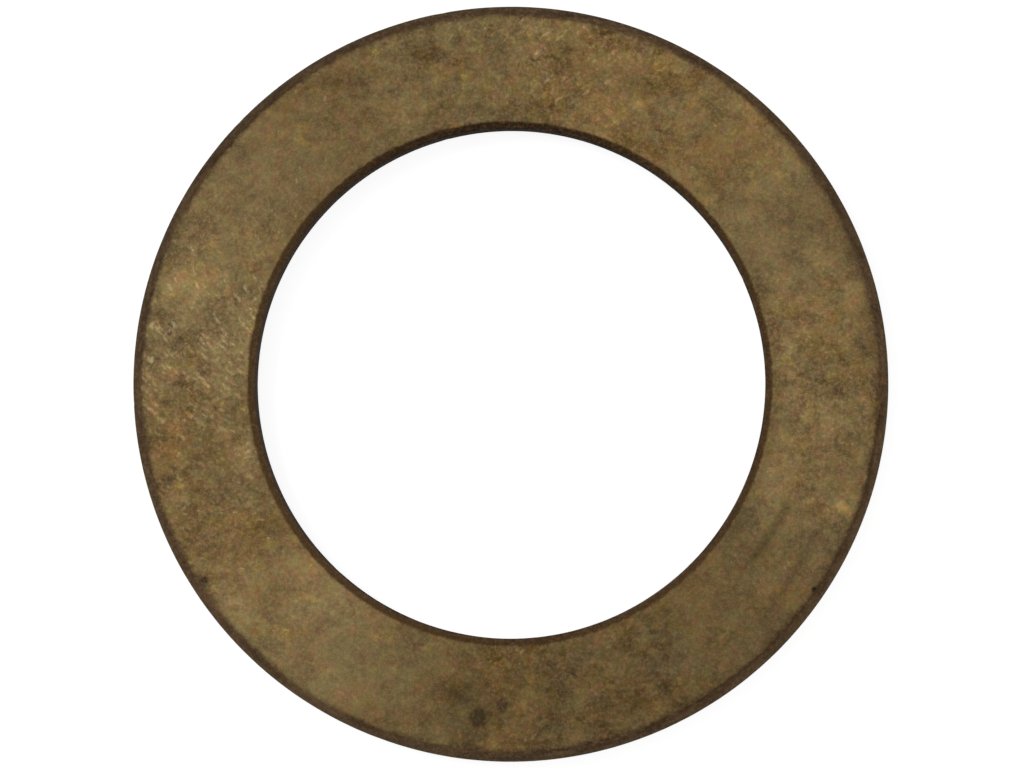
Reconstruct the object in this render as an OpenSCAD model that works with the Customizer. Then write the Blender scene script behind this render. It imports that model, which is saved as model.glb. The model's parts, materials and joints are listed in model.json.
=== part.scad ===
// Thrust washer for an axle: a flat bronze ring turned in one piece, with two plain bearing faces.
// Both outside edges and both mouths of the bore are chamfered, and the chamfers' edges are rounded.
// Millimetres. The ring lies on its lower face, whose centre is the origin, and +Z runs along the axle.

/* [Ring] */
// Outside diameter
outer_d = 75; // [68:0.5:110]
// Diameter of the bore, which clears a 50 mm axle by 0.3 mm all round
bore_d = 50.6; // [30:0.1:61.5]
// Thickness from face to face
thickness = 5; // [4:0.25:12]

/* [Chamfers] */
// Width of the outside chamfers, seen from the face
rim_chamfer_w = 1; // [0.7:0.05:1.5]
// Slope of the outside chamfers, from the face
rim_chamfer_angle = 45; // [30:1:45]
// Width of the bore chamfers, seen from the face
bore_chamfer_w = 0.7; // [0.3:0.05:1]
// Slope of the bore chamfers, from the face
bore_chamfer_angle = 45; // [30:1:45]

/* [Rounded edges] */
// Radius that the edges of the outside chamfers are rounded to
rim_edge_r = 0.5; // [0.1:0.05:0.8]
// Radius that the edges of the bore chamfers are rounded to
bore_edge_r = 0.2; // [0.05:0.05:0.4]

/* [Hidden] */

outer_r = outer_d / 2;
bore_r = bore_d / 2;
ring_w = outer_r - bore_r;

// How far a cutter reaches past the surface that it cuts
over = 1;
// How far a rounding's circle stands past its two tangent lines, so that it meets both
circle_lap = 0.0001;
// Segments of a full circle in the preview
ring_segments = 240;
edge_segments = 48;

module rounding(edge_r) {
    circle(r = edge_r + circle_lap, $fn = edge_segments);
}

// What a chamfer with rounded edges takes off a corner of the section. The corner is at the origin,
// the face runs along -X from it and the wall along -Y.
module corner_cut(chamfer_w, angle, edge_r) {
    slope = [cos(angle), -sin(angle)];
    face_edge = [-chamfer_w, 0];
    wall_edge = [0, -chamfer_w * tan(angle)];
    // Distances from each edge to where its rounding starts and ends
    face_run = edge_r * tan(angle / 2);
    wall_run = edge_r * tan((90 - angle) / 2);
    face_start = face_edge - [face_run, 0];
    wall_end = wall_edge - [0, wall_run];

    difference() {
        polygon([
            [over, over],
            face_start + [0, over],
            face_start,
            face_edge + face_run * slope,
            wall_edge - wall_run * slope,
            wall_end,
            wall_end + [over, 0],
        ]);
        translate(face_start - [0, edge_r]) rounding(edge_r);
        translate(wall_end - [edge_r, 0]) rounding(edge_r);
    }
}

// The section's two corners at the upper face: the outside edge and the mouth of the bore
module upper_corner_cuts() {
    translate([outer_r, thickness])
        corner_cut(rim_chamfer_w, rim_chamfer_angle, rim_edge_r);
    translate([bore_r, thickness]) mirror([1, 0])
        corner_cut(bore_chamfer_w, bore_chamfer_angle, bore_edge_r);
}

// Half of the ring's section, with X as the distance from the axis and Y as the height
module section() {
    difference() {
        translate([bore_r, 0]) square([ring_w, thickness]);
        upper_corner_cuts();
        translate([0, thickness]) mirror([0, 1]) upper_corner_cuts();
    }
}

module washer() {
    color([0.46, 0.38, 0.25])
        rotate_extrude($fn = ring_segments) section();
}

washer();
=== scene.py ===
"""An axle washer of browned bronze, lying on a pale floor and seen from above.

The ring's section is read from the CAD node. The mesh adds the wear that shows: dents, a pit, nicks and
ragged chamfer edges. Sizes are in millimetres until they are multiplied by MM. Angles on the ring are in
degrees clockwise from +X, as it is seen from above, because the photograph is seen that way.
"""

import json
import math

import bpy
import numpy as np
from mathutils import Matrix, Vector, noise


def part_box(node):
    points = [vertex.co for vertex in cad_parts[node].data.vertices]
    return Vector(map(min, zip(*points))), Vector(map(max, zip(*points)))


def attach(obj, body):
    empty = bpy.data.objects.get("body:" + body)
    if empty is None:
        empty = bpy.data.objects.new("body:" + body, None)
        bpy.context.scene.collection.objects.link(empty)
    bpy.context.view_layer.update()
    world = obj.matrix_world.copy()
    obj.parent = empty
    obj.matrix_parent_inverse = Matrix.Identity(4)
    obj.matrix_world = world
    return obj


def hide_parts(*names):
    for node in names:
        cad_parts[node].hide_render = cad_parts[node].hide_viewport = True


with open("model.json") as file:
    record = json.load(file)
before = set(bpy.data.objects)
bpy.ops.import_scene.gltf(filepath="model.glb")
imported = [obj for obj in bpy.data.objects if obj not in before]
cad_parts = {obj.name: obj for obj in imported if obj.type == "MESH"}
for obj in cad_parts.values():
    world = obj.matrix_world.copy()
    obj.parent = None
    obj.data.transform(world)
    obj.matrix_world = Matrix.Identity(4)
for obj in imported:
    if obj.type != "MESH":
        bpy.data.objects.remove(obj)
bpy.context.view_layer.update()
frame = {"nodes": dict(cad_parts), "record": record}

MM = 0.001

# The CAD ring
cad_ring = frame["nodes"]["washer"]
cad_low, cad_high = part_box("washer")
THICKNESS = cad_high.z / MM
OUTER_R = cad_high.x / MM
BORE_R = frame["record"]["mounts"][0]["dims"]["r_mm"]
MIDDLE_R = (BORE_R + OUTER_R) / 2


# The ring's mesh

# Columns of the mesh round the ring, and the longest steps between its points across the section
COLUMNS = 720
UPPER_FACE_STEP = 0.33
LOWER_FACE_STEP = 1.3
EDGE_STEP = 0.27
WALL_STEP = 0.65
# How near to a face's height or a wall's radius a point counts as on it
ON_FACE = 0.001
# The extra columns at a nick: the largest nick that gets them, how many of its half sizes they reach to
# each side of it, and how far apart they are
SMALL_NICK = 0.66
NICK_REACH = 1.5
NICK_COLUMN = 0.09


def section_outline():
    """The corners of the CAD section as (radius, height), in order round the section."""
    corners = sorted(
        {
            (round(math.hypot(v.co.x, v.co.y) / MM, 3), round(v.co.z / MM, 3))
            for v in cad_ring.data.vertices
        }
    )
    return sorted(corners, key=lambda c: math.atan2(c[1] - THICKNESS / 2, c[0] - MIDDLE_R))


def face_edges(outline):
    """The inner and outer radius of the flat upper face."""
    radii = [r for r, h in outline if h > THICKNESS - ON_FACE]
    return min(radii), max(radii)


def step_between(a, b):
    """The longest step that the mesh takes between two corners of the section."""
    if min(a[1], b[1]) > THICKNESS - ON_FACE:
        return UPPER_FACE_STEP
    if max(a[1], b[1]) < ON_FACE:
        return LOWER_FACE_STEP
    return WALL_STEP if abs(a[0] - b[0]) < ON_FACE else EDGE_STEP


def refined(outline):
    """The outline with its long straight stretches cut into steps, as an array of (radius, height)."""
    points = []
    for a, b in zip(outline, outline[1:] + outline[:1]):
        steps = math.ceil(math.dist(a, b) / step_between(a, b))
        points += [np.add(a, np.subtract(b, a) * i / steps) for i in range(steps)]
    return np.array(points)


def outward(points):
    """The section's outward direction at each of its points."""
    along = np.roll(points, -1, axis=0) - np.roll(points, 1, axis=0)
    across = np.stack([along[:, 1], -along[:, 0]], axis=1)
    return across / np.linalg.norm(across, axis=1, keepdims=True)


OUTLINE = section_outline()
FACE_IN_R, FACE_OUT_R = face_edges(OUTLINE)

# Marks that show in the photograph: clockwise angle, radius, half size along the ring and across it, depth
NICKS = [
    (34.1, 36.46, 0.22, 0.19, 0.35),
    (146.9, 36.35, 0.45, 0.35, 0.10),
    (147.4, 25.98, 0.35, 0.20, 0.08),
    (300.7, 36.40, 0.40, 0.25, 0.06),
    (341.6, 36.35, 0.35, 0.25, 0.07),
    (346.2, 36.60, 0.40, 0.22, 0.06),
    (354.5, 36.40, 0.30, 0.22, 0.06),
    (24.3, 29.90, 0.50, 0.35, 0.03),
    (95.1, 33.10, 0.60, 0.45, 0.05),
    (92.3, 32.10, 0.70, 0.40, 0.04),
]

# How steep a mark's sides are
MARK_STEEPNESS = 1.5
# The mesh's noise: how fast its octaves get weaker, how much smaller each is than the one before, how many
# there are, and how far a seed of 1 moves the noise
NOISE_FALL = 1.0
NOISE_RATIO = 2.0
NOISE_OCTAVES = 4
NOISE_SHIFT = Vector((7.3, 3.1, 5.7))
# Handling dents: their number, half sizes and depths
DENTS = 260
DENT_SEED = 7
DENT_SIZE = (0.25, 0.6)
DENT_DEPTH = (0.006, 0.03)
# The faces' ripple: depth and size
FACE_RIPPLE = 0.012
FACE_RIPPLE_SIZE = 2.2
# Wear of the face's edges: depth, size of its ragged stretches, how much of the edge is worn and how far
# it reaches from the edge. It reaches less far at the bore.
EDGE_WEAR = 0.05
EDGE_WEAR_SIZE = 1.6
EDGE_WEAR_SEED = 2
EDGE_WEAR_SHARE = 0.35
EDGE_WEAR_REACH = 0.45
BORE_EDGE_NEARER = 1.6


def column_angles():
    """The angles of the mesh's columns: even ones, and close ones across each small nick."""
    angles = list(np.arange(COLUMNS) * 360 / COLUMNS)
    for angle, radius, along, *_ in NICKS:
        if along < SMALL_NICK:
            reach = math.degrees(NICK_REACH * along / radius)
            count = math.ceil(2 * NICK_REACH * along / NICK_COLUMN)
            angles += list(angle + np.linspace(-reach, reach, count))
    return np.unique(np.round(angles, decimals=4))


def place(angle, radius, height):
    """The point at that clockwise angle, radius and height, in millimetres."""
    turn = np.radians(angle)
    return np.stack([radius * np.cos(turn), -radius * np.sin(turn), height + 0 * turn], axis=-1)


def angle_apart(a, b):
    """Degrees from b to a, from -180 to 180."""
    return (a - b + 180) % 360 - 180


def bump_at(angle, radius, mark):
    """One rounded mark's share of its depth at these angles and radii, from 0 to 1."""
    at_angle, at_radius, along, across = mark
    x = np.radians(angle_apart(angle, at_angle)) * at_radius / along
    y = (radius - at_radius) / across
    return np.exp(-(x**2 + y**2) ** MARK_STEEPNESS)


def noise_at(points, size, seed=0):
    """Smooth noise from about -1 to 1 at each point, whose largest features are about size millimetres."""
    shift = NOISE_SHIFT * seed
    scaled = points.reshape(-1, 3) / size
    found = [noise.fractal(Vector(p) + shift, NOISE_FALL, NOISE_RATIO, NOISE_OCTAVES) for p in scaled]
    return np.array(found).reshape(points.shape[:-1])


def dents(angle, radius, upper):
    """Depth of small handling dents, scattered over both faces and their edges."""
    rng = np.random.default_rng(DENT_SEED)
    depth = np.zeros_like(angle)
    for _ in range(DENTS):
        at = rng.uniform(0, 360), rng.uniform(BORE_R, OUTER_R), *rng.uniform(*DENT_SIZE, 2)
        deep = rng.uniform(*DENT_DEPTH)
        side = upper if rng.random() < 0.5 else ~upper
        depth = np.maximum(depth, np.where(side, bump_at(angle, radius, at) * deep, 0))
    return depth


def wear_depth(angle, points, radius):
    """How far the worn surface lies inside the true one."""
    height = points[..., 2]
    upper = height > THICKNESS / 2
    ripple = FACE_RIPPLE * (1 + noise_at(points, FACE_RIPPLE_SIZE)) / 2
    from_outer = np.abs(radius - FACE_OUT_R)
    from_inner = np.abs(radius - FACE_IN_R)
    edge = np.minimum(from_outer, BORE_EDGE_NEARER * from_inner)
    ragged = np.clip(EDGE_WEAR_SHARE + noise_at(points, EDGE_WEAR_SIZE, EDGE_WEAR_SEED), 0, 1)
    wear = EDGE_WEAR * ragged * np.exp(-((edge / EDGE_WEAR_REACH) ** 2))
    depth = ripple + wear + dents(angle, radius, upper)
    for *mark, deep in NICKS:
        depth = np.maximum(depth, np.where(upper, bump_at(angle, radius, mark) * deep, 0))
    return depth


# Soft patches, which the mesh stores at its points and the bronze reads. Each has a clockwise angle, a
# spread in degrees, a radius, a spread across and a strength.

# Light and dark tones. The first are broad, and the others are a few millimetres across.
LIGHT_AND_DARK = [
    (72, 32, 32, 30, -0.155),
    (95, 14, 32, 30, -0.09),
    (131, 14, 28, 12, 0.14),
    (166, 8, 31, 30, -0.03),
    (190, 14, 31, 30, 0.12),
    (209, 12, 31, 30, 0.115),
    (250, 8, 31, 30, 0.02),
    (350, 12, 31, 30, 0.015),
    (326, 20, 31, 30, 0.045),
    (8, 15, 28, 10, 0.04),
    (35, 12, 31, 30, -0.045),
    (260, 20, 31, 30, -0.045),
    (3, 3, 28, 1.5, 0.07),
    (2, 3, 35.5, 1.2, 0.07),
    (20, 4, 27.7, 1.5, 0.09),
    (20, 4, 35.7, 1.2, 0.06),
    (13, 5, 29.9, 1.6, 0.08),
    (14, 5, 34.8, 1.3, -0.07),
    (3, 4, 29.8, 1.5, 0.05),
    (84, 3, 27, 1, 0.08),
    (93, 3, 27, 1.2, 0.12),
    (92, 3, 35.8, 1, 0.08),
    (125, 5, 27.3, 2, 0.11),
    (142, 5, 34, 1.8, 0.07),
    (145, 5, 35, 1.4, 0.13),
    (154, 5, 29.8, 1.6, 0.07),
    (149, 6, 26.6, 1, -0.07),
    # This one lightens the face around the painted glints at 165 degrees
    (165, 4, 26.6, 1, 0.16),
    (164, 4, 27.5, 1.6, 0.12),
    (175, 4.5, 27.3, 1.8, -0.13),
    (176, 4, 30, 1.5, -0.05),
    (168, 3, 34, 1.5, 0.10),
    (183, 4, 29.6, 1.5, 0.06),
    (185, 5, 36, 1, -0.12),
    (184, 5, 34.7, 1.4, -0.07),
    (196, 3, 26.6, 1.2, 0.09),
    (205, 4, 26.8, 1, -0.13),
    (200, 4, 33, 1.6, 0.06),
    (204, 5, 29.8, 1.8, -0.09),
    (204, 5, 35, 1.4, 0.07),
    (252, 5, 35.8, 1, 0.08),
    (261, 4, 36, 1, 0.02),
    (264, 4, 26.8, 1, -0.08),
    (273, 3, 35, 2, 0.07),
    (275, 4, 32.4, 1.5, 0.08),
    (284, 4, 32.4, 1.5, -0.07),
    (295, 5, 35, 1.5, 0.11),
    (286, 3, 36, 1, 0.09),
    (345, 3, 35.4, 1.2, 0.05),
    (348, 9, 27.3, 1.8, 0.08),
    (350, 9, 34.8, 1.4, -0.08),
    (315, 5, 32.3, 1.6, -0.08),
    (353, 3, 27.5, 1.2, 0.06),
    (28, 5, 30, 0.5, -0.14),
    (34, 6, 29.7, 0.4, -0.13),
    (33, 7, 33.9, 0.35, -0.12),
    (71, 4, 33.7, 1.5, -0.06),
    (88, 3, 29.4, 1, -0.08),
    (96, 4, 33.1, 1.5, -0.10),
    (99.5, 2.5, 31, 1.2, -0.12),
    (139, 4, 32, 1.5, -0.08),
    (147, 3, 30, 1.4, -0.09),
    (147, 2, 36, 0.8, -0.10),
    (134, 5, 36, 1, -0.08),
    (168, 9, 36, 0.8, -0.09),
    (169, 3, 30.8, 1.2, -0.06),
    (205, 4, 36, 0.8, -0.06),
    (232, 2.5, 34, 0.8, -0.07),
    (244, 4, 33, 1.3, -0.06),
    (257, 3, 33.7, 1.2, -0.07),
    (268, 3, 33.5, 1.2, -0.06),
    (293, 3, 32.6, 1.4, -0.08),
    (340, 4, 36, 0.9, -0.11),
    (340, 4, 26.6, 0.8, -0.08),
    (354, 5, 36, 0.9, -0.14),
    (20, 55, 36.5, 0.7, -0.10),
    (335, 20, 36.5, 0.7, -0.05),
    (198, 12, 36.3, 0.6, -0.14),
    (225, 14, 35.9, 1, -0.05),
    (315, 12, 35.6, 1.2, 0.06),
    (8, 16, 26.5, 0.5, -0.19),
    (225, 14, 26.4, 0.7, -0.05),
    (350, 25, 26.2, 0.4, -0.05),
]
# Where the face is redder and yellower, or less so
WARM_AND_COOL = [
    (75, 25, 31, 30, 0.7),
    (290, 16, 31, 30, 0.5),
    (185, 10, 31, 30, -0.8),
    (208, 18, 31, 30, -1.1),
    (135, 20, 31, 30, -1.1),
    (330, 14, 31, 30, -0.7),
    (25, 16, 31, 30, -0.9),
    (265, 10, 31, 30, -0.9),
    (350, 14, 31, 30, -0.35),
    (73, 4, 30, 1.5, 0.7),
    (83, 3, 32, 1.5, 0.8),
    (92, 3, 35.5, 1.2, 0.9),
    (93, 3, 28, 2, 1.1),
    (150, 4.5, 29.5, 2.5, 1.9),
    (168, 4, 34, 1.5, 1.4),
    (166, 3, 28.7, 1.2, 0.7),
    (185, 4, 32, 1.8, 1.1),
    (199, 4, 33.5, 1.8, 1.3),
    (261, 4, 32, 1.8, 1.4),
    (274, 4, 29, 1.5, 1.2),
    (274, 3, 33.5, 1.2, 1),
    (286, 3, 35.5, 1.2, 1.1),
    (288, 4, 27.7, 1.3, 1.1),
    (299, 3, 34.5, 1.3, 0.8),
    (308, 4, 30.3, 1.6, 1.2),
    (316, 8, 27.5, 3, 0.9),
    (104, 5, 30.5, 2.5, 0.9),
    (345, 3, 28, 1.2, 0.7),
    (345, 3, 35.4, 1.2, 1),
    (351, 3, 31.7, 1.2, 0.6),
    # This one makes the face greyer and bluer around the painted glints at 166 degrees
    (166, 2.4, 26.6, 0.7, -2.4),
]
# Where the mottle is livelier or calmer
ROUGH_AND_CALM = [
    (182, 22, 31, 30, 0.3),
    (280, 20, 31, 30, 0.5),
    (356, 18, 31, 30, 0.35),
    (88, 14, 31, 30, 0.4),
    (160, 8, 34, 4, 0.3),
    (46, 14, 31, 30, -0.25),
    (69, 10, 31, 30, 0.3),
    (221, 20, 31, 30, -0.35),
    (118, 16, 31, 30, -0.3),
    (330, 12, 31, 30, -0.35),
]
# Where pale flecks gather
# Where the painted glints gather: pale specks of colour that stand in for glints of the metal
GLINTY_PATCHES = [
    (182, 22, 31, 30, 0.70),
    (283, 18, 31, 30, 0.45),
    (152, 8, 33, 4, 0.25),
    (88, 10, 31, 30, 0.20),
    (350, 8, 31, 30, 0.10),
]
# Dark stains, which have ragged edges of their own
STAINS = [
    (95.4, 1.3, 33.3, 0.85, 2.3),
    (91.3, 1.1, 31.9, 0.75, 1.7),
    (100.1, 0.6, 32.5, 0.30, 0.6),
    # This one, at the deep nick, turns near-black: a stain with painted shade of the nick's hollow
    (34.15, 0.28, 36.50, 0.19, 8.0),
    (147.1, 0.7, 36.1, 0.45, 1.2),
    (24.7, 2.0, 29.9, 0.55, 0.75),
    (18.0, 0.6, 33.0, 0.30, 0.5),
    (314.1, 0.6, 31.6, 0.30, 0.55),
    (310.2, 0.6, 30.0, 0.30, 0.5),
    (294.4, 0.6, 32.4, 0.30, 0.5),
    (232.3, 0.9, 34.0, 0.35, 0.5),
]
# Painted glints: pale spots that stand in for glints of the metal, which are ragged too
GLINT_SPOTS = [
    (165.4, 0.5, 26.7, 0.35, 0.9),
    (167.2, 0.6, 26.6, 0.30, 0.8),
    (168.6, 0.4, 26.9, 0.30, 0.7),
    (184.1, 0.7, 35.9, 0.50, 0.65),
    (186.0, 0.4, 35.9, 0.30, 0.6),
    (189.2, 0.8, 36.0, 0.35, 1.0),
    (188.9, 0.4, 35.4, 0.35, 0.7),
    (183.6, 0.4, 35.6, 0.30, 0.6),
    (207.3, 0.4, 30.3, 0.30, 0.7),
    (176.0, 0.5, 28.6, 0.30, 0.6),
    (171.5, 0.5, 30.8, 0.30, 0.6),
    (178.5, 0.5, 33.5, 0.35, 0.6),
    (193.5, 0.6, 34.2, 0.30, 0.6),
    (199.5, 0.6, 27.4, 0.30, 0.6),
    (273.4, 0.5, 35.2, 0.35, 0.6),
    (276.8, 0.5, 30.6, 0.30, 0.6),
    (285.5, 0.6, 35.6, 0.30, 0.6),
    (288.2, 0.5, 28.2, 0.30, 0.5),
    (2.5, 0.6, 27.0, 0.35, 0.5),
    (87.5, 0.5, 35.4, 0.30, 0.5),
    (155.8, 0.6, 26.7, 0.30, 0.5),
    (354.6, 0.5, 27.3, 0.30, 0.5),
]
# How much nearer to the axis the brown skin's two edges lie, in millimetres
SKIN_CREEP = [
    (50, 22, 36, 4, 0.05),
    (22, 10, 36, 4, -0.06),
    (355, 20, 36, 4, -0.07),
    (268, 26, 36, 4, -0.10),
    (190, 26, 36, 4, -0.08),
    (120, 14, 36, 4, -0.08),
    (150, 15, 36, 4, -0.08),
    (310, 15, 36, 4, -0.13),
    (290, 35, 25.5, 3, 0.08),
    (345, 12, 25.5, 3, 0.04),
    (147.2, 0.9, 36, 2, 0.75),
    (144.3, 0.7, 36, 2, 0.25),
]
# How much lighter or darker the brown skin is
SKIN_SHADE = [
    (262, 40, 25, 3, -0.50),
    (0, 60, 25, 3, -0.26),
    (95, 35, 25, 3, -0.10),
    (165, 22, 25, 3, 0.08),
    (228, 24, 25, 3, -0.09),
    (300, 22, 25, 3, -0.16),
    (225, 25, 38, 2, -0.28),
    (20, 34, 38, 2, 0.24),
    (105, 15, 38, 2, 0.08),
    (135, 12, 38, 2, 0.13),
    (195, 14, 38, 2, -0.12),
    (285, 12, 38, 2, -0.10),
]
# Where a darker line runs along the outer edge of the face
EDGE_LINE = [
    (12, 12, 36, 4, 0.8),
    (50, 24, 36, 4, 0.8),
    (82, 12, 36, 4, 0.3),
    (112, 6, 36, 4, 0.4),
    (226, 16, 36, 4, 0.9),
    (312, 8, 36, 4, 0.5),
    (328, 10, 36, 4, 0.3),
]
ATTRIBUTES = {
    "tone": LIGHT_AND_DARK,
    "warmth": WARM_AND_COOL,
    "roughened": ROUGH_AND_CALM,
    "flecked": GLINTY_PATCHES,
    "stain": STAINS,
    "glint_spot": GLINT_SPOTS,
    "creep": SKIN_CREEP,
    "skin_shade": SKIN_SHADE,
    "edge_line": EDGE_LINE,
}
# The lower face has the same patches, mirrored and turned by this many degrees
UNDERSIDE_TURN = 200


def field(patches, angle, radius):
    """The sum of soft patches at these angles and radii."""
    total = np.zeros_like(angle)
    for at_angle, spread, at_radius, across, strength in patches:
        x = angle_apart(angle, at_angle) / spread
        y = (radius - at_radius) / across
        total += strength * np.exp(-(x**2) - y**2)
    return total


def ring_mesh():
    """The worn ring as a closed grid of quads, with its broad tones as attributes of its points."""
    section = refined(OUTLINE)
    angles = column_angles()
    angle, radius = np.meshgrid(angles, section[:, 0], indexing="ij")
    height = np.broadcast_to(section[:, 1], angle.shape)
    true = place(angle, radius, height)
    inward = -outward(section)
    depth = wear_depth(angle, true, radius)
    worn = place(angle, radius + depth * inward[:, 0], height + depth * inward[:, 1])
    worn = np.clip(worn * MM, cad_low, cad_high)

    columns, rows = angle.shape
    index = np.arange(columns * rows).reshape(columns, rows)
    ahead = np.roll(index, -1, axis=0)
    quads = np.stack([index, np.roll(index, -1, axis=1), np.roll(ahead, -1, axis=1), ahead], axis=-1)

    mesh = bpy.data.meshes.new("washer_ring")
    mesh.from_pydata(worn.reshape(-1, 3).tolist(), [], quads.reshape(-1, 4).tolist())
    mesh.shade_smooth()
    side_angle = np.where(height > THICKNESS / 2, angle, UNDERSIDE_TURN - angle)
    for name, patches in ATTRIBUTES.items():
        values = field(patches, side_angle, radius).astype(np.float32).ravel()
        mesh.attributes.new(name, "FLOAT", "POINT").data.foreach_set("value", values)
    mesh.validate()
    mesh.update()
    return mesh


# Materials


def srgb(red, green, blue):
    """A colour given as it shows, from 0 to 255, as Blender's linear one."""
    return (*(((c / 255 + 0.055) / 1.055) ** 2.4 for c in (red, green, blue)), 1.0)


# The bronze's noises: size of the largest features in millimetres, octaves, what each finer octave keeps of
# the strength, a shift that tells the noise from the others, and swing
NOISES = {
    "clouds": (5.5, 4, 0.8, 11, 1.75),
    "fine": (0.38, 2, 0.92, 23, 1.0),
    "speckle": (0.14, 1, 0.6, 5, 0.4),
    "lathe_marks": (0.35, 3, 0.8, 61, 0.2),
    "broad": (12.0, 4, 0.7, 51, 1.0),
    "ochre": (1.8, 3, 0.8, 157, 1.0),
    "reds": (1.1, 2, 0.8, 37, 0.25),
    "groups": (3.0, 3, 0.6, 83, 0.6),
    "glint_edge": (0.4, 2, 0.8, 67, 0.9),
    "lumps": (1.4, 3, 0.75, 71, 1.0),
    "freckles": (1.2, 4, 0.8, 97, 1.0),
    "spots": (0.8, 3, 0.8, 203, 1.0),
    "skin_edge": (1.8, 3, 0.7, 113, 0.5),
    "skin_fringe": (0.5, 2, 0.7, 127, 0.4),
    "skin_mottle": (0.7, 4, 0.8, 131, 1.0),
    "skin_marks": (0.25, 2, 0.8, 139, 1.0),
    "dashes": (1.5, 3, 0.7, 173, 2.4),
    "copper": (0.9, 3, 0.6, 149, 1.0),
}
# How much of its shift moves a noise along X, Y and Z
SHIFT_SHARES = (1, 0.7, 1.3)
# A noise's raw numbers stay near their middle, so a stir is multiplied by this to reach as far as it says
STIR_GAIN = 4
# How soft a crumb's edge is
CRUMB_SOFTNESS = 0.3
HALVES = (0.5, 0.5, 0.5)
ONES = (1, 1, 1)


class Tree:
    """Short calls for building a node tree. A value is a number, a colour or another node's output."""

    def __init__(self, owner):
        owner.use_nodes = True
        self.nodes = owner.node_tree.nodes
        self.links = owner.node_tree.links
        self.nodes.clear()

    def put(self, socket, value):
        if isinstance(value, bpy.types.NodeSocket):
            self.links.new(value, socket)
        elif value is not None:
            socket.default_value = value

    def node(self, kind, inputs=(), **settings):
        made = self.nodes.new("ShaderNode" + kind)
        for name, value in settings.items():
            setattr(made, name, value)
        for name, value in dict(inputs).items():
            self.put(made.inputs[name], value)
        return made

    def math(self, operation, a, b=None, c=None, clamp=False):
        made = self.node("Math", operation=operation, use_clamp=clamp)
        for socket, value in zip(made.inputs, (a, b, c)):
            self.put(socket, value)
        return made.outputs[0]

    def add(self, *values):
        total = values[0]
        for value in values[1:]:
            total = self.math("ADD", total, value)
        return total

    def times(self, a, b):
        return self.math("MULTIPLY", a, b)

    def line(self, value, slope, start):
        """The value times slope, plus start."""
        return self.math("MULTIPLY_ADD", value, slope, start)

    def weighted(self, weights, **values):
        """The sum of the named values, each times its weight."""
        return self.add(*(self.times(values[name], weight) for name, weight in weights.items()))

    def vector(self, operation, a, b=None, c=None):
        made = self.node("VectorMath", operation=operation)
        for socket, value in zip(made.inputs, (a, b, c)):
            self.put(socket, value)
        return made.outputs["Value" if operation == "LENGTH" else "Vector"]

    def scaled(self, vector, factor):
        return self.node("VectorMath", {0: vector, "Scale": factor}, operation="SCALE").outputs[0]

    def joined(self, x=0, y=0, z=0):
        return self.node("CombineXYZ", {0: x, 1: y, 2: z}).outputs[0]

    def parted(self, vector):
        return self.node("SeparateXYZ", {0: vector}).outputs

    def noise(self, name, where):
        """The noise of that name in NOISES, about 0."""
        size, octaves, gain, shift, swing = NOISES[name]
        moved = self.vector("ADD", where, tuple(shift * share for share in SHIFT_SHARES))
        made = self.node(
            "TexNoise",
            {"Vector": moved, "Scale": 1 / size, "Detail": octaves - 1, "Roughness": gain},
        )
        return self.line(made.outputs["Fac"], swing, -swing / 2)

    def stirred(self, where, size, reach):
        """The coordinates moved about by up to about reach millimetres, so that noise looks smeared."""
        made = self.node("TexNoise", {"Vector": where, "Scale": 1 / size, "Detail": 1})
        moved = self.vector("SUBTRACT", made.outputs["Color"], HALVES)
        return self.vector("MULTIPLY_ADD", moved, (STIR_GAIN * reach,) * 3, where)

    def scattered(self, where, size):
        """How far the nearest of scattered points is, in spacings of size, and two random numbers of it."""
        made = self.node("TexVoronoi", {"Vector": where, "Scale": 1 / size})
        own = self.parted(made.outputs["Color"])
        return made.outputs["Distance"], own[0], own[1]

    def crumbs(self, where, size):
        """Three numbers about 0 that change from one soft-edged crumb to the next."""
        made = self.node(
            "TexVoronoi",
            {"Vector": where, "Scale": 1 / size, "Smoothness": CRUMB_SOFTNESS},
            feature="SMOOTH_F1",
        )
        return self.parted(self.vector("SUBTRACT", made.outputs["Color"], HALVES))

    def ramp(self, value, low, high):
        """A smooth rise from 0 at low to 1 at high, where high may also be the smaller number."""
        made = self.node("MapRange", interpolation_type="SMOOTHSTEP")
        for name, given in (("Value", value), ("From Min", low), ("From Max", high)):
            self.put(made.inputs[name], given)
        return made.outputs["Result"]

    def mix(self, share, a, b):
        made = self.node("Mix", data_type="RGBA")
        for i, value in ((0, share), (6, a), (7, b)):
            self.put(made.inputs[i], value)
        return made.outputs[2]

    def attribute(self, name):
        return self.node("Attribute", attribute_name=name).outputs["Fac"]


OLIVE_BROWN = srgb(108.5, 88.7, 56)
# Painted glints: pale and golden specks that stand in for glints of the rough metal
GOLD_GLINT = srgb(168, 138, 93)
PALE_GLINT = srgb(164, 146, 104)
# The colour of the painted glint spots
GLINT_SPOT_COLOUR = srgb(168, 150, 106)
FRECKLE = srgb(74, 59, 37)
# The brown skin: patina, darkened in part with painted shade, as the chamfers sloping away from the light
# above are darker
SKIN_AND_SHADE = srgb(86, 67, 46)
SKIN_DARK_AND_SHADE = srgb(64, 48, 32)
SKIN_LINE = srgb(57, 40, 22)
BORE_LINE = srgb(76, 56, 33)
RIM = srgb(76, 64, 46)
OCHRE = srgb(142, 114, 58)
BORE_WALL = srgb(62, 52, 43)
STAIN = srgb(50, 41, 26)
# Near-black: painted shade in the deep nick's hollow, over its stain
PIT_STAIN_AND_SHADE = srgb(18, 14, 8)
COPPER = srgb(112, 62, 42)

# How a brighter, a grainier, a redder and a yellower spot change red, green and blue
BRIGHTER = (0.97, 1.01, 0.97)
GRAINIER = (0.95, 1.03, 1.5)
REDDER = (1.0, -1.15, 0.2)
YELLOWER = (0.15, 0.15, -1.0)
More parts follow.
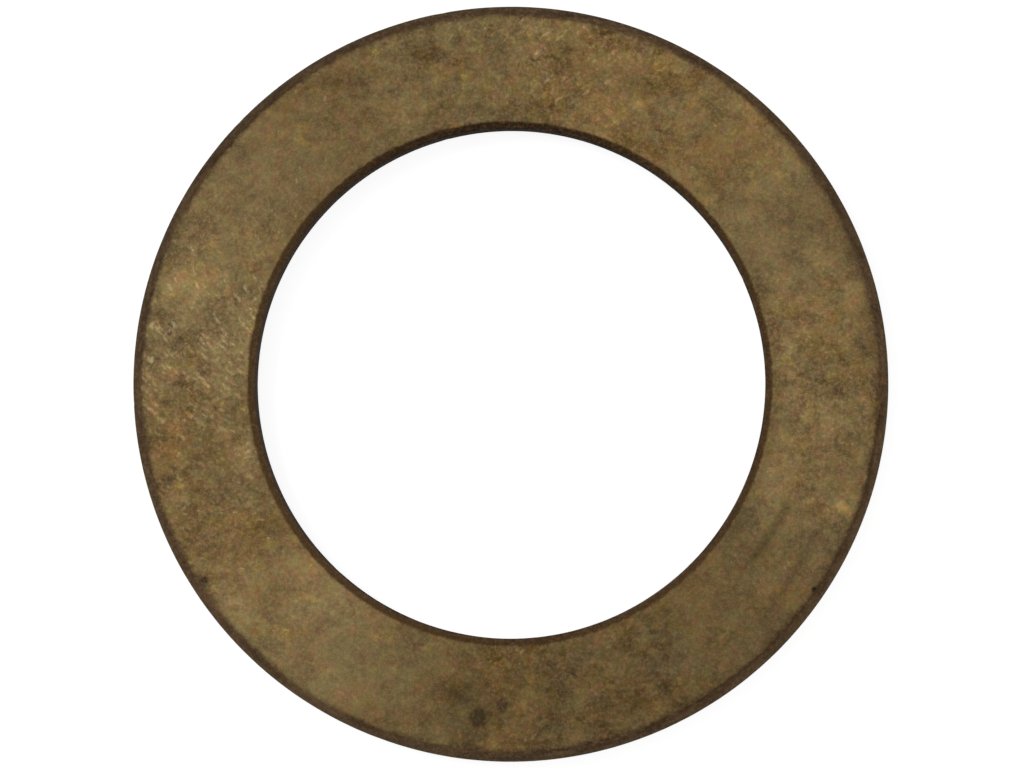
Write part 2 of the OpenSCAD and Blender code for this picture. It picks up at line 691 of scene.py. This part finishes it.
# The least that a dark spot keeps of red, green and blue
DARKEST = (0.3, 0.3, 0.3)

# What each pattern adds to a spot's redness and yellowness, and the least that a spot has of them
RED_FROM = {"warmth": 0.022, "broad": 0.18, "ochre": 0.09, "reds": 1, "crumbs": 0.045}
YELLOW_FROM = {"warmth": 0.09, "broad": 0.62, "ochre": 0.62, "crumbs": 0.12}
LEAST_RED = -0.05
LEAST_YELLOW = -0.11
# How much redness grows with brightness, and the least share of it that a dark spot keeps
VIVID_GAIN = 1.8
LEAST_VIVID = 0.25

# How roughened the face is where no patch changes it, and how lively its mottle is at least and for being
# roughened
ROUGHENED_BASE = 0.45
LEAST_LIVELY = 0.6
LIVELY_GAIN = 0.8
# How much the tone patches and the crumbs brighten the face, and how much stronger grain's light spots are
TONE_GAIN = 1.9
CRUMB_TONE = 0.28
GRAIN_PEAKS = 1.3
# Size of the crumbs in millimetres
CRUMB_SIZE = 0.7

# Size and reach of the stirring under the clouds, the lumps and the crumbs
SMEAR = (2.5, 0.2)
LUMP_STIR = (1.0, 0.2)
CRUMB_STIR = (0.6, 0.14)

# Painted glints, pale and golden specks that stand in for glints of the rough metal: their spacing,
# how drawn out they are, how far they run round the ring for each millimetre outwards, what makes them
# larger, and what is taken off so that only some points have one
GLINT_SPACING = 0.55
GLINT_STRETCH = 1.9
GLINT_SLANT = 0.75
GLINT_REACH = {"own": 0.75, "groups": 0.8, "flecked": 0.65}
GLINT_LACK = -0.44
# Freckles keep away from the groups of painted glints
FRECKLE_LEVEL = {"freckles": 1, "groups": -0.6, "roughened": 0.1}
# How ragged one noise makes the stains and the painted glint spots. The two take it opposite ways.
STAIN_RAGGED = 3.5
GLINT_SPOT_RAGGED = -2
# How drawn out the lathe marks are, and how fast the painted glints and lathe marks change with height
LATHE_STRETCH = 14
GLINT_RISE = 3.7
LATHE_RISE = 1.3

# Where each layer starts and where it is full, and how much of it shows there
LUMP_RAMP = (0.08, 0.32)
LUMP_SHARE = 0.42
FRECKLE_RAMP = (0.12, 0.5)
FRECKLE_SHARE = 0.40
GLINT_RAMP = (0, 0.45)
GLINT_SHARE = 0.36
PALE_GLINT_RAMP = (0.5, 1)
GLINT_SPOT_RAMP = (0.25, 0.9)
GLINT_SPOT_SHARE = 0.8
STAIN_RAMP = (0.2, 1.3)
STAIN_SHARE = 0.9
PIT_SHADE_RAMP = (3.6, 4.8)
COPPER_RAMP = (0.12, 0.3)
COPPER_SHARE = 0.45
DASH_RAMP = (0.1, 0.9)
SKIN_MOTTLE_RAMP = (-0.25, 0.25)

# The brown skin, the lines at its two edges, the rim and the bore wall: each starts at the first radius and
# is full at the second
OUTER_SKIN_RAMP = (FACE_OUT_R - 0.29, FACE_OUT_R + 0.45)
INNER_SKIN_RAMP = (FACE_IN_R + 0.15, FACE_IN_R - 0.2)
OUTER_LINE_RAMP = (FACE_OUT_R, FACE_OUT_R + 0.25)
INNER_LINE_RAMP = (FACE_IN_R - 0.8, FACE_IN_R - 0.3)
RIM_RAMP = (OUTER_R - 0.5, OUTER_R - 0.1)
RIM_SHARE = 0.6
WALL_RAMP = (BORE_R + 0.1, BORE_R + 0.02)
# Where the two lines end: each is gone at the first radius and full at the second
OUTER_LINE_END = (FACE_OUT_R + 0.6, FACE_OUT_R + 0.25)
INNER_LINE_END = (MIDDLE_R + 1, MIDDLE_R)
# How ragged the skin's two edges are, and what its brightness takes from the tone and the grain
OUTER_RAGGED = 1.2
INNER_RAGGED = -0.5
SKIN_TONE = 0.3
SKIN_GRAIN = 1.3

# Roughness, how much of each layer is added to it, and how much of the bore wall
ROUGHNESS = 0.55
ROUGHER = {"texture": -0.3, "skin": 0.15, "flecks": -0.1}
WALL_ROUGHER = 0.5
# The face is this metallic, and the brown skin isn't
METALLIC = 0.35
SPECULAR = 0.05
# The bump's height in millimetres and its strength, and what the painted glints and freckles add to it
BUMP_HEIGHT = 0.02
BUMP_STRENGTH = 0.5
GLINT_HEIGHT = 0.3
FRECKLE_HEIGHT = -0.4


class RingPoint:
    """Where a point of the ring lies, in millimetres, and what several layers of the bronze read there."""

    def __init__(self, t):
        self.at = t.scaled(t.node("TexCoord").outputs["Object"], 1 / MM)
        x, y, self.height = t.parted(self.at)
        self.flat = t.joined(x, y)
        self.radius = t.vector("LENGTH", self.flat)
        self.smeared = t.stirred(self.at, *SMEAR)
        self.roughened = t.math("ADD", t.attribute("roughened"), ROUGHENED_BASE, clamp=True)
        self.lively = t.line(self.roughened, LIVELY_GAIN, LEAST_LIVELY)
        self.groups = t.noise("groups", self.at)
        self.tone = t.attribute("tone")
        self.wall = t.ramp(self.radius, *WALL_RAMP)


def scuffed(t, ring):
    """Coordinates in which noise makes short strokes, slanted from the radius, all over the ring."""
    slant = t.times(ring.radius, GLINT_SLANT / MIDDLE_R)
    slanted = t.node("VectorRotate", {"Vector": ring.flat, "Angle": slant}).outputs[0]
    round_ring = t.scaled(t.vector("NORMALIZE", slanted), MIDDLE_R)
    outwards = t.add(t.times(ring.radius, 1 / GLINT_STRETCH), t.times(ring.height, GLINT_RISE))
    return t.vector("ADD", round_ring, t.joined(z=outwards))


def turned(t, ring):
    """Coordinates in which noise makes long concentric marks, as a lathe leaves them."""
    round_ring = t.scaled(t.vector("NORMALIZE", ring.flat), MIDDLE_R / LATHE_STRETCH)
    outwards = t.add(ring.radius, t.times(ring.height, LATHE_RISE))
    return t.vector("ADD", round_ring, t.joined(z=outwards))


def fine_grain(t, ring, lathe_at):
    """Fine light and dark grain, whose light spots are the stronger ones."""
    fine = t.times(t.noise("fine", ring.at), ring.lively)
    grain = t.add(fine, t.noise("speckle", ring.at), t.noise("lathe_marks", lathe_at))
    return t.times(grain, t.line(grain, GRAIN_PEAKS, 1))


def colour_change(t, ring, clouds, grain):
    """What clouds, crumbs, grain, reds and yellows multiply the face's red, green and blue by."""
    crumb_tone, crumb_red, crumb_yellow = t.crumbs(t.stirred(ring.at, *CRUMB_STIR), CRUMB_SIZE)
    brightness = t.add(clouds, t.times(t.times(crumb_tone, CRUMB_TONE), ring.lively))
    shared = {
        "warmth": t.attribute("warmth"),
        "broad": t.noise("broad", ring.smeared),
        "ochre": t.times(t.noise("ochre", ring.smeared), ring.lively),
    }
    redness = t.weighted(RED_FROM, reds=t.noise("reds", ring.at), crumbs=crumb_red, **shared)
    vivid = t.math("MAXIMUM", t.line(brightness, VIVID_GAIN, 1), LEAST_VIVID)
    redness = t.times(t.math("MAXIMUM", redness, LEAST_RED), vivid)
    yellowness = t.weighted(YELLOW_FROM, crumbs=crumb_yellow, **shared)
    yellowness = t.math("MAXIMUM", yellowness, LEAST_YELLOW)
    change = ONES
    for amount, direction in (
        (brightness, BRIGHTER),
        (grain, GRAINIER),
        (redness, REDDER),
        (yellowness, YELLOWER),
    ):
        change = t.vector("MULTIPLY_ADD", t.scaled(ONES, amount), direction, change)
    return t.vector("MAXIMUM", change, DARKEST)


def painted_glint_layer(t, ring):
    """Where the painted glints are, as pale and golden specks, and which of them are pale."""
    apart, own, kind = t.scattered(scuffed(t, ring), GLINT_SPACING)
    reach = t.weighted(GLINT_REACH, own=own, groups=ring.groups, flecked=t.attribute("flecked"))
    edge = t.noise("glint_edge", ring.at)
    flecks = t.ramp(t.add(reach, GLINT_LACK, edge, t.times(apart, -1)), *GLINT_RAMP)
    return flecks, t.ramp(kind, *PALE_GLINT_RAMP)


def freckle_layer(t, ring):
    """Where the dark freckles are."""
    freckles = t.noise("freckles", ring.smeared)
    level = t.weighted(FRECKLE_LEVEL, freckles=freckles, groups=ring.groups, roughened=ring.roughened)
    return t.ramp(level, *FRECKLE_RAMP)


def face_colour(t, ring, change, flecks, pale, freckles, spotty):
    """The mottled olive face, with ochre lumps, dark freckles, and glints painted as pale specks and spots.
    """
    lumps = t.add(t.noise("lumps", t.stirred(ring.at, *LUMP_STIR)), ring.groups)
    face = t.mix(t.times(t.ramp(lumps, *LUMP_RAMP), LUMP_SHARE), OLIVE_BROWN, OCHRE)
    face = t.mix(t.times(freckles, FRECKLE_SHARE), face, FRECKLE)
    # Painted glints: pale and golden specks over the face
    face = t.mix(t.times(flecks, GLINT_SHARE), face, t.mix(pale, GOLD_GLINT, PALE_GLINT))
    face = t.vector("MULTIPLY", face, change)
    face = t.scaled(face, t.math("ADD", t.times(ring.tone, TONE_GAIN), 1))
    # Painted glints: pale spots over the face
    glint_spot = t.times(t.attribute("glint_spot"), t.line(spotty, GLINT_SPOT_RAGGED, 1))
    return t.mix(t.times(t.ramp(glint_spot, *GLINT_SPOT_RAMP), GLINT_SPOT_SHARE), face, GLINT_SPOT_COLOUR)


def skin_layers(t, ring):
    """Where the brown skin is, and where the darker lines at its outer and its inner edge are."""
    creep = t.attribute("creep")
    ragged = t.add(t.noise("skin_edge", ring.at), t.noise("skin_fringe", ring.at))
    outer_r = t.add(ring.radius, creep, t.times(ragged, OUTER_RAGGED))
    inner_r = t.add(ring.radius, creep, t.times(ragged, INNER_RAGGED))
    skin = t.math("MAXIMUM", t.ramp(outer_r, *OUTER_SKIN_RAMP), t.ramp(inner_r, *INNER_SKIN_RAMP))
    dashes = t.add(t.attribute("edge_line"), t.noise("dashes", ring.at))
    outer_line = t.times(t.ramp(outer_r, *OUTER_LINE_RAMP), t.ramp(outer_r, *OUTER_LINE_END))
    outer_line = t.times(outer_line, t.ramp(dashes, *DASH_RAMP))
    inner_line = t.times(t.ramp(inner_r, *INNER_LINE_RAMP), t.ramp(ring.radius, *INNER_LINE_END))
    return skin, outer_line, inner_line


def skin_and_shade_colour(t, ring, lathe_at, grain, outer_line, inner_line):
    """The brown skin, patina partly darkened with painted shade, with its mottle, lines and coppery spots,
    and the duller rim and bore wall.
    """
    mottle = t.add(t.noise("skin_mottle", ring.at), t.noise("skin_marks", lathe_at))
    # Patina with painted shade of the sloping chamfers
    brown = t.mix(t.ramp(mottle, *SKIN_MOTTLE_RAMP), SKIN_DARK_AND_SHADE, SKIN_AND_SHADE)
    brown = t.mix(outer_line, brown, SKIN_LINE)
    brown = t.mix(inner_line, brown, BORE_LINE)
    copper = t.ramp(t.noise("copper", ring.at), *COPPER_RAMP)
    brown = t.mix(t.times(copper, COPPER_SHARE), brown, COPPER)
    rim = t.ramp(ring.radius, *RIM_RAMP)
    brown = t.mix(t.times(rim, RIM_SHARE), brown, RIM)
    brown = t.mix(ring.wall, brown, BORE_WALL)
    from_tone = t.times(ring.tone, SKIN_TONE)
    from_grain = t.times(grain, SKIN_GRAIN)
    return t.scaled(brown, t.add(from_tone, t.attribute("skin_shade"), from_grain, 1))


def with_stains(t, colour, change, spotty):
    """The colour with its dark stains, which turn near-black where they are strongest, as in the deep nick:
    stain and painted shade of its hollow.
    """
    stained = t.times(t.attribute("stain"), t.line(spotty, STAIN_RAGGED, 1))
    stain = t.vector("MULTIPLY", change, STAIN[:3])
    colour = t.mix(t.times(t.ramp(stained, *STAIN_RAMP), STAIN_SHARE), colour, stain)
    # Near-black at the deep nick: painted shade of its hollow over the stain
    return t.mix(t.ramp(stained, *PIT_SHADE_RAMP), colour, PIT_STAIN_AND_SHADE)


def bronze():
    """Browned bronze: mottled olive faces with painted glints, and a brown skin with painted shade on
    chamfers, rim and bore.
    """
    material = bpy.data.materials.new("browned_bronze")
    t = Tree(material)
    ring = RingPoint(t)
    lathe_at = turned(t, ring)
    clouds = t.times(t.noise("clouds", ring.smeared), ring.lively)
    grain = fine_grain(t, ring, lathe_at)
    change = colour_change(t, ring, clouds, grain)
    # Painted glints: where the pale and golden specks are
    flecks, pale = painted_glint_layer(t, ring)
    freckles = freckle_layer(t, ring)
    spotty = t.noise("spots", ring.at)
    skin, outer_line, inner_line = skin_layers(t, ring)

    face = face_colour(t, ring, change, flecks, pale, freckles, spotty)
    brown = skin_and_shade_colour(t, ring, lathe_at, grain, outer_line, inner_line)
    colour = with_stains(t, t.mix(skin, face, brown), change, spotty)

    texture = t.add(clouds, grain)
    roughness = t.add(t.weighted(ROUGHER, texture=texture, skin=skin, flecks=flecks), ROUGHNESS)
    roughness = t.math("ADD", roughness, t.times(ring.wall, WALL_ROUGHER), clamp=True)
    height = t.add(texture, t.times(flecks, GLINT_HEIGHT), t.times(freckles, FRECKLE_HEIGHT))
    bump = t.node("Bump", {"Strength": BUMP_STRENGTH, "Distance": BUMP_HEIGHT * MM, "Height": height})
    shader = t.node(
        "BsdfPrincipled",
        {
            "Base Color": colour,
            "Metallic": t.line(skin, -METALLIC, METALLIC),
            "Roughness": roughness,
            "Specular IOR Level": SPECULAR,
            "Normal": bump.outputs[0],
        },
    )
    t.node("OutputMaterial", {"Surface": shader.outputs[0]})
    return material


def seen_directly(t):
    """1 for rays from the camera, a mirror or glass, and 0 for the light that reaches the object."""
    path = t.node("LightPath").outputs
    direct = t.math("MAXIMUM", path["Is Camera Ray"], path["Is Glossy Ray"])
    return t.math("MAXIMUM", direct, path["Is Transmission Ray"])


# The floor's colour in the light that falls on it, and the light of its own that makes it show white
FLOOR_GREY = (0.42, 0.42, 0.42, 1)
FLOOR_LIFT = 0.76


def floor_material():
    """Pale floor that shows white, and darkens where the ring shades it."""
    material = bpy.data.materials.new("pale_floor")
    t = Tree(material)
    lit = t.node("BsdfDiffuse", {"Color": FLOOR_GREY})
    lift = t.node("Emission", {"Strength": t.times(seen_directly(t), FLOOR_LIFT)})
    both = t.node("AddShader", {0: lit.outputs[0], 1: lift.outputs[0]})
    t.node("OutputMaterial", {"Surface": both.outputs[0]})
    return material


# Making the scene


def add_object(name, data):
    made = bpy.data.objects.new(name, data)
    bpy.context.scene.collection.objects.link(made)
    return made


def point_at(thing, target, up=Vector((0, 1, 0))):
    """Turns a camera or a lamp at thing's place to look at target, with up towards the top of its view."""
    ahead = (Vector(target) - thing.location).normalized()
    right = ahead.cross(up).normalized()
    top = right.cross(ahead)
    turn = Matrix((right, top, -ahead)).transposed()
    thing.matrix_world = Matrix.Translation(thing.location) @ turn.to_4x4()


def build_washer():
    washer = add_object("axle_washer", ring_mesh())
    washer.data.materials.append(bronze())
    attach(washer, "root")
    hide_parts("washer")


# Half of the floor's width, and how far it lies below the ring
FLOOR_HALF = 1500
FLOOR_GAP = 0.02


def build_floor():
    half, down = FLOOR_HALF * MM, -FLOOR_GAP * MM
    mesh = bpy.data.meshes.new("floor")
    corners = [(-half, -half, down), (half, -half, down), (half, half, down), (-half, half, down)]
    mesh.from_pydata(corners, [], [(0, 1, 2, 3)])
    floor = add_object("floor", mesh)
    mesh.materials.append(floor_material())


# Name, place in millimetres, width of the square lamp, and power in watts
LAMPS = [
    ("key_light", (-420, 260, 520), 420, 2.2),
    ("fill_light", (450, -180, 560), 480, 1.1),
]
# The sky's strength for the light that reaches the object. Where it is seen, it is 1.
WORLD_LIGHT = 0.62
WHITE = (1, 1, 1, 1)


def build_lights():
    for name, where, width, power in LAMPS:
        lamp = bpy.data.lights.new(name, "AREA")
        lamp.size = width * MM
        lamp.energy = power
        made = add_object(name, lamp)
        made.location = Vector(where) * MM
        point_at(made, (0, 0, 0))
        made.visible_camera = False

    world = bpy.data.worlds.new("studio")
    t = Tree(world)
    strength = t.ramp(seen_directly(t), 0, 1)
    strength = t.line(strength, 1 - WORLD_LIGHT, WORLD_LIGHT)
    sky = t.node("Background", {"Color": WHITE, "Strength": strength})
    t.node("OutputWorld", {"Surface": sky.outputs[0]})
    bpy.context.scene.world = world


# The camera: its height above the upper face, and how far it stands beside the axis, in millimetres
CAMERA_HEIGHT = 700
CAMERA_X, CAMERA_Y = 26.6, -24.9
# The upper face's scale and the place of its centre in the photograph
FACE_PIXELS_PER_MM = 10.107
FACE_CENTRE_PX = (509.65, 383.10)
PHOTO_W, PHOTO_H = 1024, 768
SENSOR_WIDTH = 36
# The nearest and the farthest that the camera sees, in metres
CLIP_NEAR, CLIP_FAR = 0.01, 10


def build_camera():
    camera = bpy.data.cameras.new("camera")
    focal_px = FACE_PIXELS_PER_MM * CAMERA_HEIGHT
    camera.sensor_width = SENSOR_WIDTH
    camera.lens = focal_px * SENSOR_WIDTH / PHOTO_W
    camera.clip_start = CLIP_NEAR
    camera.clip_end = CLIP_FAR
    made = add_object("camera", camera)
    made.location = Vector((CAMERA_X, CAMERA_Y, THICKNESS + CAMERA_HEIGHT)) * MM
    aim_x = (PHOTO_W / 2 - FACE_CENTRE_PX[0]) / FACE_PIXELS_PER_MM
    aim_y = -(PHOTO_H / 2 - FACE_CENTRE_PX[1]) / FACE_PIXELS_PER_MM
    point_at(made, Vector((aim_x, aim_y, THICKNESS)) * MM)
    bpy.context.scene.camera = made


build_camera()
build_washer()
build_floor()
build_lights()
bpy.context.scene.view_settings.view_transform = "Standard"
